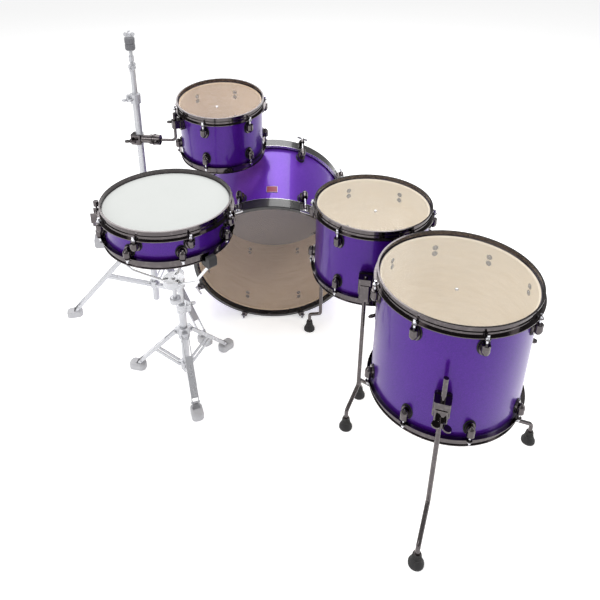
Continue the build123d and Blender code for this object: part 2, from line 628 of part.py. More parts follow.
def rack_tom():
    """Rack tom with its bracket, tilted towards the player."""
    place = Pos(*RACK_AT) * Rot(RACK_TILT, 0, 0)
    pieces = drum(**RACK, vent_angle=102)
    nodes = {f"rack_tom_{name}": placed(shapes, place) for name, shapes in pieces.items()}
    level = RACK_AT[2] + RACK_BRACKET_Z
    radius = RACK["radius"]
    turn = Pos(RACK_AT[0], RACK_AT[1], level) * Rot(0, 0, RACK_BRACKET_ANGLE)
    plate = Pos(radius + 3, 0, 0) * Box(14, 40, 46)
    plate = fillet(plate.edges().filter_by(Axis.X), 10)
    block = Pos(radius + 19, 0, 0) * Box(34, 28, 30)
    block = fillet(block.edges().filter_by(Axis.Z), 7)
    rod_way = Pos(radius + RACK_BRACKET_OUT, 0, 0) * Cylinder(5.2 + SLIDE_FIT, 80)
    bolt_way = Pos(radius + RACK_BRACKET_OUT, -12, 0) * Rot(90, 0, 0) * Cylinder(4.05, 14)
    bolt = Pos(radius + RACK_BRACKET_OUT, -15, 0) * Rot(90, 0, 0) * wing_bolt(4.0, 9, 36)
    shell_space = place * disc(radius, -RACK["depth"], 0)
    body = turn * (plate + block - rod_way - bolt_way) - shell_space
    nodes["rack_tom_bracket"] = [body, turn * bolt]
    return nodes


# ---------------------------------------------------------------- snare drum and stand
def snare_drum():
    """Snare drum with strainer, throw-off lever and wires."""
    place = Pos(*SNARE_AT)
    pieces = drum(**SNARE, vent_angle=90, lug_length=26.0, lug_top=-20.0)
    nodes = {f"snare_{name}": placed(shapes, place) for name, shapes in pieces.items()}
    radius, depth = SNARE["radius"], SNARE["depth"]
    base = Pos(radius + 4, 0, -depth / 2) * Box(16, 30, 58)
    base = fillet(base.edges().filter_by(Axis.X), 7)
    carriage = Pos(radius + 19, 0, -depth / 2 - 4) * Box(14, 26, 34)
    carriage = fillet(carriage.edges().filter_by(Axis.Z), 4)
    knob_stem = Pos(radius + 22, 0, 0) * disc(3, -depth / 2, -8)
    knob = Pos(radius + 22, 0, 0) * disc(7.5, -14, 2)
    knob = fillet(knob.edges(), 1.5)
    lever_way = Pos(radius + 18, 0, -depth / 2 + 9) * Rot(90, 0, 0) * Cylinder(3 + SLIDE_FIT, 50)
    strainer = base + carriage + knob_stem + knob - disc(radius, -depth, 0) - lever_way
    butt = Pos(radius + 5, 0, -depth * 0.60) * Box(18, 34, 36)
    butt = fillet(butt.edges().filter_by(Axis.X), 8) - disc(radius, -depth, 0)
    lever_bar = Pos(radius + 34, 0, -depth / 2 - 17) * Box(5, 14, 36)
    lever_bar = fillet(lever_bar.edges().filter_by(Axis.X), 5)
    arms = []
    for side in (-1, 1):
        arms.append(Pos(radius + 26, side * 15.5, -depth / 2 - 1) * Box(22, 3.5, 30))
    bridge = Pos(radius + 34.5, 0, -depth / 2 - 12) * Box(5, 34.5, 10)
    pin = Pos(radius + 18, 0, -depth / 2 + 9) * Rot(90, 0, 0) * Cylinder(3, 34)
    lever = lever_bar + bridge + arms[0] + arms[1] + pin
    strand_gap = 4.0
    strands = 16
    low = -depth - FILM - 1.0
    span = 2 * radius - 70
    wires = []
    for i in range(strands):
        y = (i - (strands - 1) / 2) * strand_gap
        wires.append(Pos(0, y, low - 0.8) * Rot(0, 90, 0) * Cylinder(0.8, span))
    for side in (-1, 1):
        wires.append(Pos(side * (span / 2 + 6), 0, low - 0.8) * Box(12, 64, 1.6))
    nodes["snare_strainer"] = placed([spun(strainer, 180), butt], place)
    nodes["snare_throw_off_lever"] = placed([spun(lever, 180)], place)
    nodes["snare_wires"] = placed(wires, place)
    return nodes


def snare_stand():
    at = SNARE_STAND_AT
    here = Pos(at[0], at[1], 0)
    tripod_pieces = tripod(at, SNARE_LEG_FIRST, SNARE_LEG_SPREAD, 197.0, 197.0, 52.0, (22.0, 2.5))
    collars = [
        spin_about(tripod_pieces["collar"], at, SNARE_LEG_FIRST),
        spin_about(tripod_pieces["hub"], at, SNARE_LEG_FIRST),
    ]
    clamp_z = 300.0
    clamp = placed(clamp_collar(clamp_z, TUBE_RADIUS, 34, 0), here)
    pivot_y = SNARE_AT[1] + 66.0
    pivot = (SNARE_AT[0], pivot_y, BASKET_PIVOT_Z)
    upper = here * tube(UPPER_TUBE_RADIUS, UPPER_TUBE_RADIUS - TUBE_WALL, 80, 440)
    cap = here * disc(16, 386, 443)
    neck = bar_between((at[0], at[1], 425), (pivot[0], pivot[1] + 10, pivot[2]), 10)
    fork = []
    for side in (-1, 1):
        fork.append(Pos(pivot[0] + side * 13, pivot[1], pivot[2]) * Rot(0, 90, 0) * Cylinder(15, 6))
    bridge = Pos(pivot[0], pivot[1] + 18, pivot[2]) * Box(32, 8, 20)
    fork_gap = Pos(pivot[0], pivot[1] - 6, pivot[2]) * Box(20, 40, 60)
    pin_way = Pos(*pivot) * Rot(0, 90, 0) * Cylinder(5 + SLIDE_FIT, 60)
    tilter = upper + cap + neck + fork + bridge - fork_gap - pin_way
    knuckle = Pos(*pivot) * Rot(0, 90, 0) * (Cylinder(14, 19.2) + Cylinder(5, 40))
    centre = (SNARE_AT[0], SNARE_AT[1])
    link = bar_between(pivot, (centre[0], centre[1] + 8, BASKET_HUB_Z - 14), 8)
    hub_axis = Pos(centre[0], centre[1], 0)
    hub = hub_axis * disc(32, BASKET_HUB_Z - 24, BASKET_HUB_Z - 4)
    screw = hub_axis * disc(6, BASKET_HUB_Z - 90, BASKET_HUB_Z)
    knob = hub_axis * disc(17, BASKET_HUB_Z - 96, BASKET_HUB_Z - 76)
    knob = fillet(knob.edges(), 4)
    swivel = Pos(centre[0], centre[1], BASKET_HUB_Z - 14)
    arms = []
    for i in range(3):
        arms.append([swivel * spun(shape, BASKET_ARM_FIRST + 120 * i) for shape in basket_arm()])
    slots = [swivel * spun(arm_slot(), BASKET_ARM_FIRST + 120 * i) for i in range(3)]
    pin = Pos(ARM_PIVOT_OUT, 0, 0) * Rot(90, 0, 0) * Cylinder(ARM_PIN, 16)
    pins = [swivel * spun(pin, BASKET_ARM_FIRST + 120 * i) for i in range(3)]
    return tripod_pieces, arms, dict(
        snare_stand_base_tube=stand_base(at, clamp_z + 17) + clamp + collars,
        snare_stand_upper_tube=[tilter],
        snare_basket_hub=[knuckle + link + hub - slots + screw + pins + knob],
    )


def arm_slot():
    """Room in the hub for the inner end of one arm."""
    return Pos(ARM_PIVOT_OUT + 3, 0, 0) * Box(23, 9.2, 40)


def basket_arm():
    """One basket arm with its rubber grip, along +X from the hub, hinged near the hub."""
    rim = SNARE["radius"] + HOOP_EAR_OUT
    hoop_low = SNARE_AT[2] - SNARE["depth"] - HOOP_TOP - (BASKET_HUB_Z - 14)
    tip_out = rim - 4.0
    shoulder = hoop_low - 20.0
    path = FilletPolyline(
        (ARM_PIVOT_OUT, 0, 0), (tip_out * 0.62, 0, shoulder * 0.38),
        (tip_out + 2, 0, shoulder), (tip_out + 2, 0, shoulder + 8),
        radius=5,
    )
    start = Plane(origin=(ARM_PIVOT_OUT, 0, 0), z_dir=path % 0)
    pin_line = Pos(ARM_PIVOT_OUT, 0, 0) * Rot(90, 0, 0)
    arm = sweep(start * Circle(4.0), path=path) + pin_line * Cylinder(6.5, 8)
    arm -= pin_line * Cylinder(ARM_PIN + SLIDE_FIT, 12)
    grip = Pos(tip_out + 4, 0, hoop_low - 0.5) * Box(34, 26, 34)
    grip = fillet(grip.edges().filter_by(Axis.Y), 8)
    hoop_space = Pos(tip_out - 14, 0, hoop_low + 25) * Box(38, 40, 50)
    arm_way = Pos(tip_out + 2, 0, shoulder - 2) * Cylinder(4.05, 20)
    return [arm, grip - hoop_space - arm_way]


# ---------------------------------------------------------------- the kit
def build():
    """Every node of the kit as {node: list of shapes}."""
    nodes = {}
    nodes.update(bass_drum())
    nodes["bass_spur_left"] = spur(-1)
    nodes["bass_spur_right"] = spur(1)

    big = drum(**FT16, vent_angle=71)
    small = drum(**FT14, vent_angle=77)
    big = {name: placed(shapes, Pos(*FT16_AT)) for name, shapes in big.items()}
    small = {name: placed(shapes, Pos(*FT14_AT)) for name, shapes in small.items()}
    for name in ("shell", "hoops", "batter_head"):
        nodes[f"floor_tom_16_{name}"] = big[name]
        nodes[f"floor_tom_14_{name}"] = small[name]
    nodes["floor_tom_bottom_heads"] = big["bottom_head"] + small["bottom_head"]
    nodes["floor_tom_lugs"] = big["lugs"] + small["lugs"]
    nodes["floor_tom_tension_rods"] = big["tension_rods"] + small["tension_rods"]
    big_brackets, big_legs = floor_tom_legs(FT16_AT, FT16["radius"], FT16_LEGS)
    small_brackets, small_legs = floor_tom_legs(FT14_AT, FT14["radius"], FT14_LEGS)
    nodes["floor_tom_leg_brackets"] = big_brackets + small_brackets
    for name, big_leg, small_leg in zip(("front", "right", "left"), big_legs, small_legs):
        nodes[f"floor_tom_16_leg_{name}"] = big_leg
        nodes[f"floor_tom_14_leg_{name}"] = small_leg

    nodes.update(rack_tom())
    nodes.update(tom_holder())
    nodes.update(snare_drum())
    cymbal_tripod, cymbal_nodes = cymbal_stand()
    snare_tripod, arms, snare_nodes = snare_stand()
    nodes.update(cymbal_nodes)
    nodes.update(snare_nodes)
    for number, arm in enumerate(arms, start=1):
        nodes[f"snare_basket_arm_{number}"] = arm
    nodes["cymbal_stand_legs"] = cymbal_tripod["legs"] + cymbal_tripod["braces"]
    nodes["snare_stand_legs"] = snare_tripod["legs"] + snare_tripod["braces"]
    nodes["stand_feet"] = cymbal_tripod["feet"] + snare_tripod["feet"]
    return nodes


if __name__ == "__main__":
    for node, shapes in build().items():
        save(node, shapes)
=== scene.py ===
"""Finishes, small fittings, floor, lights and camera for the acoustic drum kit."""
import math

import bmesh
import bpy
from mathutils import Euler, Matrix, Vector


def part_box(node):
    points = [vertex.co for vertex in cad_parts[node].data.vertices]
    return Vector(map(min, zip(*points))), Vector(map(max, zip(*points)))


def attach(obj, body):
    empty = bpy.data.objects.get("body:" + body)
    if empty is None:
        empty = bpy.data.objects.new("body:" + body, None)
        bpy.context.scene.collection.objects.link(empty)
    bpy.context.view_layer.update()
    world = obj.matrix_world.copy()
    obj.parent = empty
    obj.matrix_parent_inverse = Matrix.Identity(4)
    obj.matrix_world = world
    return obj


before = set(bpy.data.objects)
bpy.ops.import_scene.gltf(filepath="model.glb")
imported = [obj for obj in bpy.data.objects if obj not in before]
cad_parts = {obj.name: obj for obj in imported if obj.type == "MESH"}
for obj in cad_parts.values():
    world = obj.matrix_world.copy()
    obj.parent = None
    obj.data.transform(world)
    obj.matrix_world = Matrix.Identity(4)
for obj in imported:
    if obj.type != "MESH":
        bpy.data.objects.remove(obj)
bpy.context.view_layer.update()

# ---------------------------------------------------------------- the drums, in metres
TILT = math.radians(7.7)
BASS_PITCH = math.radians(11.67)
FT16 = dict(centre=(0.4901, -0.3867, 0.680), turn=(0, 0, 0), radius=0.2032, depth=0.3556, body="kit")
FT14 = dict(centre=(0.3201, 0.0003, 0.678), turn=(0, 0, 0), radius=0.1778, depth=0.240, body="kit")
RACK = dict(
    centre=(-0.1909, 0.4333, 0.867), turn=(TILT, 0, 0), radius=0.1524, depth=0.2032, body="rack_tom",
)
SNARE = dict(
    centre=(-0.2919, -0.1767, 0.787), turn=(0, 0, 0), radius=0.1778, depth=0.0889, body="snare_drum",
)
BASS = dict(
    centre=(-0.0019, 0.2243, 0.294 * math.cos(BASS_PITCH)), turn=(math.pi / 2 - BASS_PITCH, 0, math.pi),
    radius=0.2794, depth=0.368, body="kit",
)
BASS_HEAD_INSET = 0.0185
CYMBAL_STAND = (-0.4844, 0.3743)


# ---------------------------------------------------------------- camera
def make_camera():
    camera = bpy.data.objects.new("studio_camera", bpy.data.cameras.new("studio_camera"))
    bpy.context.scene.collection.objects.link(camera)
    camera.location = (0.0321, -1.7157, 1.647)
    camera.rotation_euler = (math.radians(90 - 25.306), 0, 0)
    camera.data.sensor_width = 36
    camera.data.lens = 37.454
    camera.data.shift_x = 0.0309
    camera.data.shift_y = -0.235
    bpy.context.scene.camera = camera


# ---------------------------------------------------------------- material bench
def tone(red, green, blue):
    """Display values 0 to 255 as a linear colour."""
    def linear(value):
        value /= 255
        return value / 12.92 if value <= 0.04045 else ((value + 0.055) / 1.055) ** 2.4
    return (linear(red), linear(green), linear(blue), 1.0)


class Bench:
    """Adds nodes to one tree and joins them by name."""

    def __init__(self, tree):
        self.tree = tree

    def add(self, kind, inputs=None, **settings):
        made = self.tree.nodes.new(kind)
        made.location = (220 * (len(self.tree.nodes) % 9), -260 * (len(self.tree.nodes) // 9))
        for name, value in settings.items():
            setattr(made, name, value)
        for name, value in (inputs or {}).items():
            if isinstance(value, bpy.types.NodeSocket):
                self.tree.links.new(value, made.inputs[name])
            else:
                made.inputs[name].default_value = value
        return made

    def maths(self, operation, first, second=0.0):
        return self.add("ShaderNodeMath", {0: first, 1: second}, operation=operation).outputs[0]

    def blend(self, share, low, high):
        """Colour between low and high."""
        mixed = self.add("ShaderNodeMix", {0: share, 6: low, 7: high}, data_type="RGBA")
        return mixed.outputs[2]

    def between(self, share, low, high):
        """Number between low and high."""
        return self.add("ShaderNodeMix", {0: share, 2: low, 3: high}, data_type="FLOAT").outputs[0]

    def spread(self, value, low, high, new_low=0.0, new_high=1.0):
        return self.add(
            "ShaderNodeMapRange",
            {"Value": value, "From Min": low, "From Max": high, "To Min": new_low, "To Max": new_high},
        ).outputs["Result"]

    def noise(self, where, scale, detail=3.0, rough=0.55):
        made = self.add(
            "ShaderNodeTexNoise", {"Vector": where, "Scale": scale, "Detail": detail, "Roughness": rough}
        )
        return made.outputs["Fac"]


def new_effect(name, inputs, outputs):
    """Empty node group with its sockets. Returns its bench, its input node and its output node."""
    group = bpy.data.node_groups.new(name, "ShaderNodeTree")
    for socket, kind, value in inputs:
        made = group.interface.new_socket(socket, in_out="INPUT", socket_type=kind)
        if value is not None:
            made.default_value = value
    for socket, kind in outputs:
        group.interface.new_socket(socket, in_out="OUTPUT", socket_type=kind)
    bench = Bench(group)
    return bench, bench.add("NodeGroupInput"), bench.add("NodeGroupOutput")


FLOAT, COLOUR, VECTOR = "NodeSocketFloat", "NodeSocketColor", "NodeSocketVector"


def make_handling_marks():
    """Fine swirl marks and a soft haze left by hands and cloths."""
    bench, given, out = new_effect(
        "handling_marks",
        [("Where", VECTOR, None), ("Fineness", FLOAT, 1.0)],
        [("Haze", FLOAT), ("Marks", FLOAT)],
    )
    scale = bench.maths("MULTIPLY", given.outputs["Fineness"], 9.0)
    haze = bench.noise(given.outputs["Where"], scale, 4.0)
    stretched = bench.add(
        "ShaderNodeMapping", {"Vector": given.outputs["Where"], "Scale": (30.0, 420.0, 95.0),
                              "Rotation": (0.3, 0.9, 0.4)},
    ).outputs["Vector"]
    lines = bench.noise(stretched, given.outputs["Fineness"], 2.0, 0.4)
    bench.tree.links.new(bench.spread(haze, 0.35, 0.7), out.inputs["Haze"])
    bench.tree.links.new(bench.spread(lines, 0.52, 0.66), out.inputs["Marks"])
    return bench.tree


def make_settled_dust():
    """Faint dust on faces that look up."""
    bench, given, out = new_effect(
        "settled_dust", [("Where", VECTOR, None), ("Amount", FLOAT, 0.2)], [("Dust", FLOAT)]
    )
    up = bench.add("ShaderNodeSeparateXYZ", {0: bench.add("ShaderNodeNewGeometry").outputs["Normal"]})
    grains = bench.noise(given.outputs["Where"], 120.0, 5.0, 0.7)
    facing = bench.spread(up.outputs["Z"], 0.35, 1.0)
    dust = bench.maths("MULTIPLY", bench.maths("MULTIPLY", facing, grains), given.outputs["Amount"])
    bench.tree.links.new(dust, out.inputs["Dust"])
    return bench.tree


def make_drum_zone():
    """Distance from a drum's axis and height below its top edge, from the drum's own coordinates."""
    bench, given, out = new_effect(
        "drum_zone", [("Drum", VECTOR, None)], [("Out", FLOAT), ("Height", FLOAT), ("Around", FLOAT)]
    )
    split = bench.add("ShaderNodeSeparateXYZ", {0: given.outputs["Drum"]})
    flat = bench.add("ShaderNodeCombineXYZ", {"X": split.outputs["X"], "Y": split.outputs["Y"]})
    length = bench.add("ShaderNodeVectorMath", {0: flat.outputs[0]}, operation="LENGTH").outputs["Value"]
    around = bench.maths("ARCTAN2", split.outputs["Y"], split.outputs["X"])
    bench.tree.links.new(length, out.inputs["Out"])
    bench.tree.links.new(split.outputs["Z"], out.inputs["Height"])
    bench.tree.links.new(around, out.inputs["Around"])
    return bench.tree


def make_birch_grain():
    """Rotary-cut birch: long pale figure round the shell with short darker pores."""
    bench, given, out = new_effect(
        "birch_grain",
        [("Out", FLOAT, 0.0), ("Height", FLOAT, 0.0), ("Around", FLOAT, 0.0),
         ("Pale", COLOUR, (0.7, 0.6, 0.45, 1)), ("Dark", COLOUR, (0.5, 0.4, 0.3, 1))],
        [("Colour", COLOUR), ("Grain", FLOAT)],
    )
    sheet = bench.add(
        "ShaderNodeCombineXYZ",
        {"X": bench.maths("MULTIPLY", given.outputs["Around"], 1.2),
         "Y": bench.maths("MULTIPLY", given.outputs["Height"], 26.0), "Z": given.outputs["Out"]},
    ).outputs[0]
    figure = bench.noise(sheet, 3.0, 6.0, 0.6)
    pore_sheet = bench.add("ShaderNodeMapping", {"Vector": sheet, "Scale": (14.0, 30.0, 1.0)}).outputs[0]
    pores = bench.spread(bench.noise(pore_sheet, 2.2, 2.0, 0.5), 0.60, 0.72)
    grain = bench.maths("MAXIMUM", bench.spread(figure, 0.3, 0.75), bench.maths("MULTIPLY", pores, 0.6))
    colour = bench.blend(grain, given.outputs["Pale"], given.outputs["Dark"])
    bench.tree.links.new(colour, out.inputs["Colour"])
    bench.tree.links.new(grain, out.inputs["Grain"])
    return bench.tree


def make_flake_coat():
    """Fine metal flake held in coloured lacquer."""
    bench, given, out = new_effect(
        "flake_coat",
        [("Where", VECTOR, None), ("Deep", COLOUR, (0.1, 0.02, 0.3, 1)),
         ("Bright", COLOUR, (0.3, 0.1, 0.7, 1))],
        [("Colour", COLOUR), ("Flake", FLOAT)],
    )
    cells = bench.add("ShaderNodeTexVoronoi", {"Vector": given.outputs["Where"], "Scale": 900.0})
    cell_tone = bench.add("ShaderNodeSeparateColor", {0: cells.outputs["Color"]}).outputs[0]
    flake = bench.spread(cell_tone, 0.2, 1.0)
    cloud = bench.noise(given.outputs["Where"], 5.0, 3.0)
    share = bench.maths("ADD", bench.maths("MULTIPLY", flake, 0.45), bench.maths("MULTIPLY", cloud, 0.4))
    colour = bench.blend(share, given.outputs["Deep"], given.outputs["Bright"])
    bench.tree.links.new(colour, out.inputs["Colour"])
    bench.tree.links.new(flake, out.inputs["Flake"])
    return bench.tree


EFFECTS = dict(
    marks=make_handling_marks(), dust=make_settled_dust(), zone=make_drum_zone(),
    birch=make_birch_grain(), flake=make_flake_coat(),
)


class Finish(Bench):
    """A material with its own shader, ready for effects."""

    def __init__(self, name, **shader_values):
        self.material = bpy.data.materials.new(name)
        self.material.use_nodes = True
        super().__init__(self.material.node_tree)
        self.shader = self.tree.nodes["Principled BSDF"]
        self.where = self.add("ShaderNodeTexCoord").outputs["Object"]
        for socket, value in shader_values.items():
            self.shader.inputs[socket.replace("_", " ").title().replace("Ior", "IOR")].default_value = value

    def effect(self, name, **inputs):
        made = self.add("ShaderNodeGroup", node_tree=EFFECTS[name])
        for socket, value in inputs.items():
            if isinstance(value, bpy.types.NodeSocket):
                self.tree.links.new(value, made.inputs[socket])
            else:
                made.inputs[socket].default_value = value
        return made.outputs

    def feed(self, socket, value):
        self.tree.links.new(value, self.shader.inputs[socket])

    def relief(self, height, strength, distance=0.0005):
        bump = self.add("ShaderNodeBump", {"Height": height, "Strength": strength, "Distance": distance})
        self.feed("Normal", bump.outputs["Normal"])

    def zone(self, drum):
        """Outputs of the drum zone effect for one drum."""
        local = self.add(
            "ShaderNodeMapping", {"Vector": self.where, "Location": drum["centre"], "Rotation": drum["turn"]},
            vector_type="TEXTURE",
        )
        return self.effect("zone", Drum=local.outputs["Vector"])


# ---------------------------------------------------------------- finishes
NICKEL, NICKEL_WORN = tone(92, 87, 88), tone(128, 122, 121)


def metal(name, base, worn, roughness, metallic=1.0, dust=0.15):
    """Polished metal with handling marks and a little dust. Returns the open finish and its colour."""
    finish = Finish(name, metallic=metallic)
    marks = finish.effect("marks", Where=finish.where)
    dust_layer = finish.effect("dust", Where=finish.where, Amount=dust)["Dust"]
    rubbed = finish.blend(finish.maths("MULTIPLY", marks["Marks"], 0.35), base, worn)
    colour = finish.blend(dust_layer, rubbed, tone(160, 158, 156))
    finish.feed("Base Color", colour)
    rough = finish.between(marks["Haze"], roughness * 0.8, roughness * 1.35)
    rough = finish.maths("ADD", rough, finish.maths("MULTIPLY", dust_layer, 0.5))
    finish.feed("Roughness", rough)
    finish.relief(marks["Marks"], 0.05, 0.0002)
    return finish, colour, rough


def black_nickel():
    return metal("black_nickel", NICKEL, NICKEL_WORN, 0.10, dust=0.05)[0].material


def bright_chrome():
    return metal("bright_chrome", tone(205, 205, 210), tone(228, 228, 230), 0.10)[0].material


def pale_chrome():
    return metal("pale_stand_chrome", tone(197, 198, 202), tone(213, 213, 217), 0.28, 0.5, 0.05)[0].material


def metal_with_rubber(name, base, worn, roughness, metallic, rubber, edge, above):
    """Metal rod with a rubber end, parted at a height."""
    finish, colour, rough = metal(name, base, worn, roughness, metallic)
    height = finish.add("ShaderNodeSeparateXYZ", {0: finish.where}).outputs["Z"]
    is_rubber = finish.maths("GREATER_THAN" if above else "LESS_THAN", height, edge)
    speck = finish.noise(finish.where, 700.0, 4.0)
    rubber_colour = finish.blend(speck, rubber, tuple(min(1.0, 1.5 * c + 0.004) for c in rubber[:3]) + (1.0,))
    finish.feed("Base Color", finish.blend(is_rubber, colour, rubber_colour))
    finish.feed("Roughness", finish.between(is_rubber, rough, 0.62))
    finish.feed("Metallic", finish.between(is_rubber, metallic, 0.0))
    return finish.material


def shell_lacquer(name, drum, pale, dark, deep, bright):
    """Violet flake lacquer outside, sealed birch inside."""
    finish = Finish(name, coat_roughness=0.03, coat_ior=1.45, specular_ior_level=0.15)
    zone = finish.zone(drum)
    outside = finish.maths("GREATER_THAN", zone["Out"], drum["radius"] - 0.0022)
    flake = finish.effect("flake", Where=finish.where, Deep=deep, Bright=bright)
    birch = finish.effect(
        "birch", Out=zone["Out"], Height=zone["Height"], Around=zone["Around"], Pale=pale, Dark=dark
    )
    marks = finish.effect("marks", Where=finish.where, Fineness=0.6)
    finish.feed("Base Color", finish.blend(outside, birch["Colour"], flake["Colour"]))
    finish.feed("Roughness", finish.between(outside, 0.55, finish.between(marks["Haze"], 0.30, 0.38)))
    finish.feed("Metallic", finish.maths("MULTIPLY", outside, 0.45))
    finish.feed("Coat Weight", finish.maths("MULTIPLY", outside, 0.5))
    grain = finish.maths("MULTIPLY", birch["Grain"], finish.maths("SUBTRACT", 1.0, outside))
    finish.relief(grain, 0.25, 0.0003)
    return finish.material


def clear_film(name, drums, film, ring, clearness):
    """Clear film held in its grey flesh ring, for the heads of one or more drums."""
    finish = Finish(name, ior=1.45)
    marks = finish.effect("marks", Where=finish.where, Fineness=0.5)
    dust_layer = finish.effect("dust", Where=finish.where, Amount=0.03)["Dust"]
    is_ring = 1.0
    for drum in drums:
        beyond = finish.maths("GREATER_THAN", finish.zone(drum)["Out"], drum["radius"] - 0.0005)
        is_ring = finish.maths("MULTIPLY", is_ring, beyond)
    finish.feed("Base Color", finish.blend(is_ring, film, ring))
    haze = finish.maths("MULTIPLY", marks["Haze"], 0.03)
    alpha = finish.maths("ADD", finish.maths("ADD", haze, dust_layer), 1.0 - clearness)
    finish.feed("Alpha", finish.maths("MAXIMUM", alpha, is_ring))
    finish.feed("Metallic", finish.maths("MULTIPLY", is_ring, 0.9))
    finish.feed("Roughness", finish.between(marks["Haze"], 0.10, 0.2))
    finish.relief(marks["Haze"], 0.03, 0.001)
    return finish.material


def coated_film():
    """Sprayed white coating with its fine tooth, inside the grey flesh ring."""
    finish = Finish("coated_white_film")
    zone = finish.zone(SNARE)
    tooth = finish.noise(finish.where, 1400.0, 3.0, 0.7)
    cloud = finish.noise(finish.where, 7.0, 4.0)
    is_ring = finish.maths("GREATER_THAN", zone["Out"], SNARE["radius"] - 0.0005)
    white = finish.blend(cloud, tone(196, 198, 196), tone(189, 192, 189))
    finish.feed("Base Color", finish.blend(is_ring, white, tone(160, 160, 162)))
    finish.feed("Roughness", finish.between(tooth, 0.55, 0.75))
    finish.feed("Metallic", finish.maths("MULTIPLY", is_ring, 0.9))
    finish.relief(tooth, 0.35, 0.0003)
    return finish.material


def dark_film():
    """Satin charcoal film of the bass drum's front."""
    finish = Finish("dark_front_film", coat_weight=0.2)
    cloud = finish.noise(finish.where, 6.0, 5.0)
    marks = finish.effect("marks", Where=finish.where)
    finish.feed("Base Color", finish.blend(cloud, tone(116, 119, 138), tone(128, 131, 150)))
    finish.feed("Roughness", finish.between(marks["Haze"], 0.35, 0.5))
    finish.relief(marks["Marks"], 0.05)
    return finish.material


def hoop_lacquer():
    """Black lacquer on maple hoops, with a painted highlight line at the edge next to the shell."""
    finish = Finish("black_hoop_lacquer", coat_weight=0.6, coat_roughness=0.06)
    zone = finish.zone(BASS)
    birch = finish.effect(
        "birch", Out=zone["Out"], Height=zone["Height"], Around=zone["Around"],
        Pale=tone(24, 22, 24), Dark=tone(14, 13, 15),
    )
    marks = finish.effect("marks", Where=finish.where)
    rubbed = finish.blend(finish.maths("MULTIPLY", marks["Marks"], 0.25), birch["Colour"], tone(70, 66, 66))
    # Painted highlight: a thin bright metallic line at each hoop edge next to the shell, standing in for the
    # edge's shine.
    painted_edge_highlight = 0.0
    for edge in (0.0450, 0.3600):
        gap = finish.maths("ABSOLUTE", finish.maths("SUBTRACT", zone["Height"], edge))
        painted_edge_highlight = finish.maths("MAXIMUM", painted_edge_highlight, finish.maths("LESS_THAN", gap, 0.0016))
    finish.feed("Base Color", finish.blend(painted_edge_highlight, rubbed, tone(214, 212, 216)))
    finish.feed("Metallic", finish.maths("MULTIPLY", painted_edge_highlight, 0.9))
    finish.feed("Roughness", finish.between(marks["Haze"], 0.22, 0.34))
    finish.relief(birch["Grain"], 0.06, 0.0003)
    return finish.material


def lug_metal(name, drums):
    """Black nickel castings on dark rubber gaskets."""
    finish, colour, rough = metal(name, NICKEL, NICKEL_WORN, 0.16)
    gasket = 0.0
    for drum in drums:
        gap = finish.maths("SUBTRACT", finish.zone(drum)["Out"], drum["radius"] + 0.0006)
        here = finish.maths("LESS_THAN", finish.maths("ABSOLUTE", gap), 0.00075)
        gasket = finish.maths("MAXIMUM", gasket, here)
    finish.feed("Base Color", finish.blend(gasket, colour, tone(26, 25, 26)))
    finish.feed("Roughness", finish.between(gasket, rough, 0.7))
    finish.feed("Metallic", finish.between(gasket, 1.0, 0.0))
    return finish.material


def plain_rubber(name, dark, light):
    finish = Finish(name)
    speck = finish.noise(finish.where, 600.0, 4.0)
    dust_layer = finish.effect("dust", Where=finish.where, Amount=0.2)["Dust"]
    finish.feed("Base Color", finish.blend(dust_layer, finish.blend(speck, dark, light), tone(190, 188, 185)))
    finish.feed("Roughness", finish.between(speck, 0.55, 0.75))
    finish.relief(speck, 0.15, 0.0003)
    return finish.material


def pressed_felt():
    finish = Finish("pressed_felt", sheen_weight=0.5, sheen_roughness=0.4)
    fibres = finish.noise(finish.where, 900.0, 8.0, 0.8)
    finish.feed("Base Color", finish.blend(fibres, tone(84, 84, 88), tone(140, 140, 144)))
    finish.feed("Roughness", finish.between(fibres, 0.85, 1.0))
    finish.relief(fibres, 0.8, 0.0008)
    return finish.material


def badge_plate():
    """Brushed metal plate with a plain dark red field."""
    finish, colour, rough = metal("badge_plate", tone(150, 148, 152), tone(186, 184, 188), 0.3)
    zone = finish.zone(BASS)
    low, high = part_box("bass_badge")
    middle_x = (low.x + high.x) / 2
    place = finish.add("ShaderNodeSeparateXYZ", {0: finish.where})
    across = finish.maths("ABSOLUTE", finish.maths("SUBTRACT", place.outputs["X"], middle_x))
    along = finish.maths("ABSOLUTE", finish.maths("SUBTRACT", zone["Height"], 0.3684 * 0.30))
    field = finish.maths(
        "MULTIPLY", finish.maths("LESS_THAN", across, 0.0185), finish.maths("LESS_THAN", along, 0.0155)
    )
    finish.feed("Base Color", finish.blend(field, colour, tone(128, 20, 52)))
    finish.feed("Metallic", finish.between(field, 1.0, 0.1))
    return finish.material


# ---------------------------------------------------------------- dressing the frame's nodes
def dress(material, *names):
    for name in names:
        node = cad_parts[name]
        node.data.materials.clear()
        node.data.materials.append(material)


def round_edges(width, *names):
    """Small rounded edges so that cast and pressed parts catch the light."""
    for name in names:
        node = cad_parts[name]
        bevel = node.modifiers.new("rounded_edges", "BEVEL")
        bevel.width = width
        bevel.segments = 2
        bevel.limit_method = "ANGLE"
        bevel.angle_limit = math.radians(40)


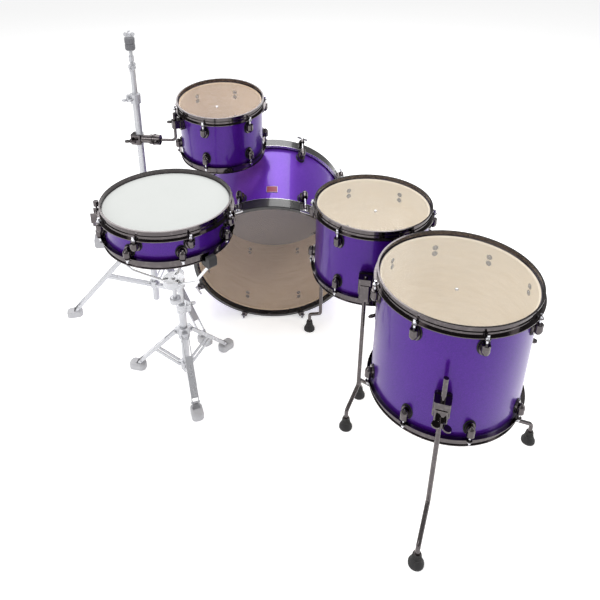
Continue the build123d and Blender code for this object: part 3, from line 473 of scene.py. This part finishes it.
def dress_kit():
    nickel, chrome, pale = black_nickel(), bright_chrome(), pale_chrome()
    cream, tan = tone(240, 228, 208), tone(230, 215, 190)
    # Darker copies of the same birch for the rack tom and bass drum insides: painted shade.
    shaded_cream, shaded_tan = tone(226, 204, 176), tone(206, 178, 146)
    violet, lit_violet = (tone(50, 8, 112), tone(92, 24, 156)), (tone(72, 22, 144), tone(126, 64, 202))
    for prefix, drum, light, dark, lacquer in (
        ("floor_tom_16", FT16, cream, tan, violet), ("floor_tom_14", FT14, cream, tan, violet),
        ("rack_tom", RACK, shaded_cream, shaded_tan, violet), ("snare", SNARE, cream, tan, violet),
        ("bass", BASS, shaded_cream, shaded_tan, lit_violet),
    ):
        dress(shell_lacquer(prefix + "_lacquer", drum, light, dark, *lacquer), prefix + "_shell")
    ring = tone(150, 150, 152)
    film = tone(240, 236, 228)
    dress(clear_film("floor_tom_16_film", (FT16,), film, ring, 0.88), "floor_tom_16_batter_head")
    dress(clear_film("floor_tom_14_film", (FT14,), film, ring, 0.88), "floor_tom_14_batter_head")
    # The rack tom and bass batter films take a darker, browner tint than the floor toms' clear film: painted
    # shade and reflection.
    dress(clear_film("rack_tom_film", (RACK,), tone(214, 200, 188), ring, 0.88),
          "rack_tom_batter_head", "rack_tom_bottom_head")
    dress(clear_film("bass_batter_film", (BASS,), tone(214, 198, 188), ring, 0.88), "bass_batter_head")
    dress(clear_film("snare_side_film", (SNARE,), film, ring, 0.75), "snare_bottom_head")
    dress(clear_film("lower_tom_film", (FT16, FT14), film, ring, 0.70), "floor_tom_bottom_heads")
    dress(coated_film(), "snare_batter_head")
    dress(dark_film(), "bass_front_head")
    dress(hoop_lacquer(), "bass_hoops")
    dress(lug_metal("floor_tom_lug_metal", (FT16, FT14)), "floor_tom_lugs")
    dress(lug_metal("rack_tom_lug_metal", (RACK,)), "rack_tom_lugs")
    dress(lug_metal("snare_lug_metal", (SNARE,)), "snare_lugs")
    dress(lug_metal("bass_lug_metal", (BASS,)), "bass_lugs")
    dress(chrome, "floor_tom_tension_rods", "rack_tom_tension_rods", "snare_tension_rods", "snare_wires",
          "bass_tension_rods")
    dress(nickel, "floor_tom_16_hoops", "floor_tom_14_hoops", "rack_tom_hoops", "snare_hoops", "bass_claws",
          "bass_spur_brackets", "floor_tom_leg_brackets", "rack_tom_bracket", "tom_clamp",
          "tom_ratchet_head", "tom_l_rod", "snare_strainer", "snare_throw_off_lever")
    black_rubber = tone(28, 27, 28)
    legs = metal_with_rubber(
        "leg_metal_and_rubber", NICKEL, NICKEL_WORN, 0.17, 1.0, black_rubber, 0.044, False,
    )
    spurs = metal_with_rubber(
        "spur_metal_and_rubber", NICKEL, NICKEL_WORN, 0.17, 1.0, black_rubber, 0.034, False,
    )
    for size in (16, 14):
        dress(legs, *(f"floor_tom_{size}_leg_{side}" for side in ("front", "right", "left")))
    dress(spurs, "bass_spur_left", "bass_spur_right")
    dress(pale, "cymbal_stand_base_tube", "cymbal_stand_legs", "cymbal_stand_upper_tube", "cymbal_tilter",
          "cymbal_wing_nut", "snare_stand_base_tube", "snare_stand_legs", "snare_stand_upper_tube",
          "snare_basket_hub")
    grips = metal_with_rubber(
        "basket_metal_and_rubber", tone(226, 227, 230), tone(240, 240, 242), 0.16, 0.75,
        tone(170, 170, 174), 0.6676, True,
    )
    dark_grip = metal_with_rubber(
        "basket_metal_and_black_rubber", tone(226, 227, 230), tone(240, 240, 242), 0.16, 0.75,
        tone(40, 39, 40), 0.6676, True,
    )
    dress(dark_grip, "snare_basket_arm_1")
    dress(grips, "snare_basket_arm_2", "snare_basket_arm_3")
    dress(plain_rubber("stand_rubber", tone(184, 184, 188), tone(197, 197, 200)), "stand_feet")
    dress(pressed_felt(), "cymbal_felts")
    dress(badge_plate(), "bass_badge")


# ---------------------------------------------------------------- small fittings
def lathe(name, outline, material, place, body, segments=48):
    """Ring or button turned from a closed outline of (radius, height) points, put on a body."""
    shape = bmesh.new()
    rings = []
    for step in range(segments):
        angle = math.tau * step / segments
        rings.append([shape.verts.new((r * math.cos(angle), r * math.sin(angle), z)) for r, z in outline])
    for step in range(segments):
        here, after = rings[step], rings[(step + 1) % segments]
        for k in range(len(outline)):
            near, far = k, (k + 1) % len(outline)
            shape.faces.new((here[near], after[near], after[far], here[far]))
    bmesh.ops.remove_doubles(shape, verts=shape.verts, dist=1e-6)
    bmesh.ops.recalc_face_normals(shape, faces=shape.faces)
    mesh = bpy.data.meshes.new(name)
    shape.to_mesh(mesh)
    shape.free()
    mesh.shade_smooth()
    mesh.materials.append(material)
    piece = bpy.data.objects.new(name, mesh)
    bpy.context.scene.collection.objects.link(piece)
    piece.matrix_world = place
    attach(piece, body)


def drum_place(drum):
    return Matrix.Translation(drum["centre"]) @ Euler(drum["turn"]).to_matrix().to_4x4()


def vent_eyelets(chrome):
    """Rolled metal eyelet in each shell's vent."""
    profile = [(0.0048, -0.0075), (0.0060, -0.0075), (0.0060, 0.0006), (0.0098, 0.0003), (0.0104, 0.0011),
               (0.0092, 0.0024), (0.0066, 0.0027), (0.0050, 0.0016)]
    vents = (
        ("floor_tom_16", FT16, 71, -FT16["depth"] / 2), ("floor_tom_14", FT14, 77, -FT14["depth"] / 2),
        ("rack_tom", RACK, 102, -RACK["depth"] / 2), ("snare", SNARE, 90, -SNARE["depth"] / 2),
        ("bass", BASS, 0, BASS_HEAD_INSET + BASS["depth"] / 2),
    )
    for name, drum, angle, height in vents:
        spin = Matrix.Rotation(math.radians(angle), 4, "Z")
        out = Matrix.Translation((drum["radius"], 0, height)) @ Matrix.Rotation(math.pi / 2, 4, "Y")
        lathe(name + "_vent_eyelet", profile, chrome, drum_place(drum) @ spin @ out, drum["body"])


def foot_ribs(rubber):
    """Moulded ribs round each floor tom foot."""
    legs = (
        (16, FT16, 0.2322, 0.096, ((-107.5, -6.0), (13.0, 0.0), (132.5, -20.0))),
        (14, FT14, 0.2068, 0.070, ((-101.0, -25.0), (13.5, 0.0), (133.5, -12.0))),
    )
    for size, drum, out, reach, turns in legs:
        for side, (turn, toe) in zip(("front", "right", "left"), turns):
            knee, foot = math.radians(turn), math.radians(turn + toe)
            x = drum["centre"][0] + out * math.cos(knee) + reach * math.cos(foot)
            y = drum["centre"][1] + out * math.sin(knee) + reach * math.sin(foot)
            for level, radius in ((0.0245, 0.0126), (0.0285, 0.0114), (0.0345, 0.0110), (0.0385, 0.0103)):
                profile = [(radius - 0.0012, -0.0014), (radius + 0.0009, -0.0010), (radius + 0.0014, 0),
                           (radius + 0.0009, 0.0010), (radius - 0.0012, 0.0014)]
                lathe(f"floor_tom_{size}_foot_{side}_rib_{round(level * 1e4)}", profile, rubber,
                      Matrix.Translation((x, y, level)), f"floor_tom_{size}_leg_{side}", 40)


def cymbal_thread(chrome):
    """Rolled thread on the top of the cymbal rod."""
    shape = bmesh.new()
    pitch, turns, steps, low = 0.0013, 22, 24, 1.1050
    loops = []
    for step in range(turns * steps + 1):
        angle = math.tau * step / steps
        z = low + pitch * step / steps
        corners = ((0.0037, -0.0005), (0.00425, 0.0), (0.0037, 0.0005))
        turned = [(r * math.cos(angle), r * math.sin(angle), z + rise) for r, rise in corners]
        loops.append([shape.verts.new(point) for point in turned])
    for here, after in zip(loops, loops[1:]):
        for k in range(3):
            shape.faces.new((here[k], after[k], after[(k + 1) % 3], here[(k + 1) % 3]))
    shape.faces.new(loops[0][::-1])
    shape.faces.new(loops[-1])
    bmesh.ops.recalc_face_normals(shape, faces=shape.faces)
    mesh = bpy.data.meshes.new("cymbal_rod_thread")
    shape.to_mesh(mesh)
    shape.free()
    mesh.materials.append(chrome)
    piece = bpy.data.objects.new("cymbal_rod_thread", mesh)
    bpy.context.scene.collection.objects.link(piece)
    piece.location = (CYMBAL_STAND[0], CYMBAL_STAND[1], 0)
    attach(piece, "cymbal_tilter")


# ---------------------------------------------------------------- floor and lights
def make_studio():
    floor_mesh = bpy.data.meshes.new("studio_floor")
    floor_mesh.from_pydata([(-15, -15, 0), (15, -15, 0), (15, 15, 0), (-15, 15, 0)], [], [(0, 1, 2, 3)])
    floor = bpy.data.objects.new("studio_floor", floor_mesh)
    bpy.context.scene.collection.objects.link(floor)
    paper = Finish("studio_paper", roughness=0.9, specular_ior_level=0.1)
    cloud = paper.noise(paper.where, 3.0, 2.0)
    paper.feed("Base Color", paper.blend(cloud, (0.93, 0.93, 0.93, 1), (0.95, 0.95, 0.95, 1)))
    paper.shader.inputs["Emission Color"].default_value = (1, 1, 1, 1)
    paper.shader.inputs["Emission Strength"].default_value = 0.5
    floor_mesh.materials.append(paper.material)

    world = bpy.data.worlds.new("studio_air")
    world.use_nodes = True
    world.node_tree.nodes["Background"].inputs["Color"].default_value = (1, 1, 1, 1)
    world.node_tree.nodes["Background"].inputs["Strength"].default_value = 0.42
    bpy.context.scene.world = world

    aim = Vector((0.05, 0.0, 0.45))
    for name, place, size, power in (
        ("key_softbox", (-2.8, -2.2, 2.4), (1.0, 2.8), 34),
        ("side_softbox", (3.0, -1.4, 1.9), (0.6, 2.6), 20),
        ("top_softbox", (0.0, 0.4, 3.6), (3.0, 2.2), 78),
        ("back_softbox", (-0.3, 3.0, 3.4), (3.2, 1.5), 55),
    ):
        light = bpy.data.objects.new(name, bpy.data.lights.new(name, "AREA"))
        light.data.shape = "RECTANGLE"
        light.data.size, light.data.size_y = size
        light.data.energy = power
        light.location = place
        light.rotation_euler = (aim - Vector(place)).to_track_quat("-Z", "Y").to_euler()
        bpy.context.scene.collection.objects.link(light)
    bpy.context.scene.view_settings.view_transform = "Standard"


make_camera()
dress_kit()
round_edges(0.0005, "floor_tom_leg_brackets", "rack_tom_bracket", "tom_clamp", "bass_claws",
            "bass_spur_brackets", "cymbal_stand_legs", "snare_stand_legs", "snare_strainer")
fitting_chrome = metal("eyelet_chrome", tone(205, 205, 210), tone(228, 228, 230), 0.12)[0].material
vent_eyelets(fitting_chrome)
foot_ribs(plain_rubber("foot_rubber", tone(26, 25, 26), tone(40, 39, 40)))
cymbal_thread(fitting_chrome)
make_studio()
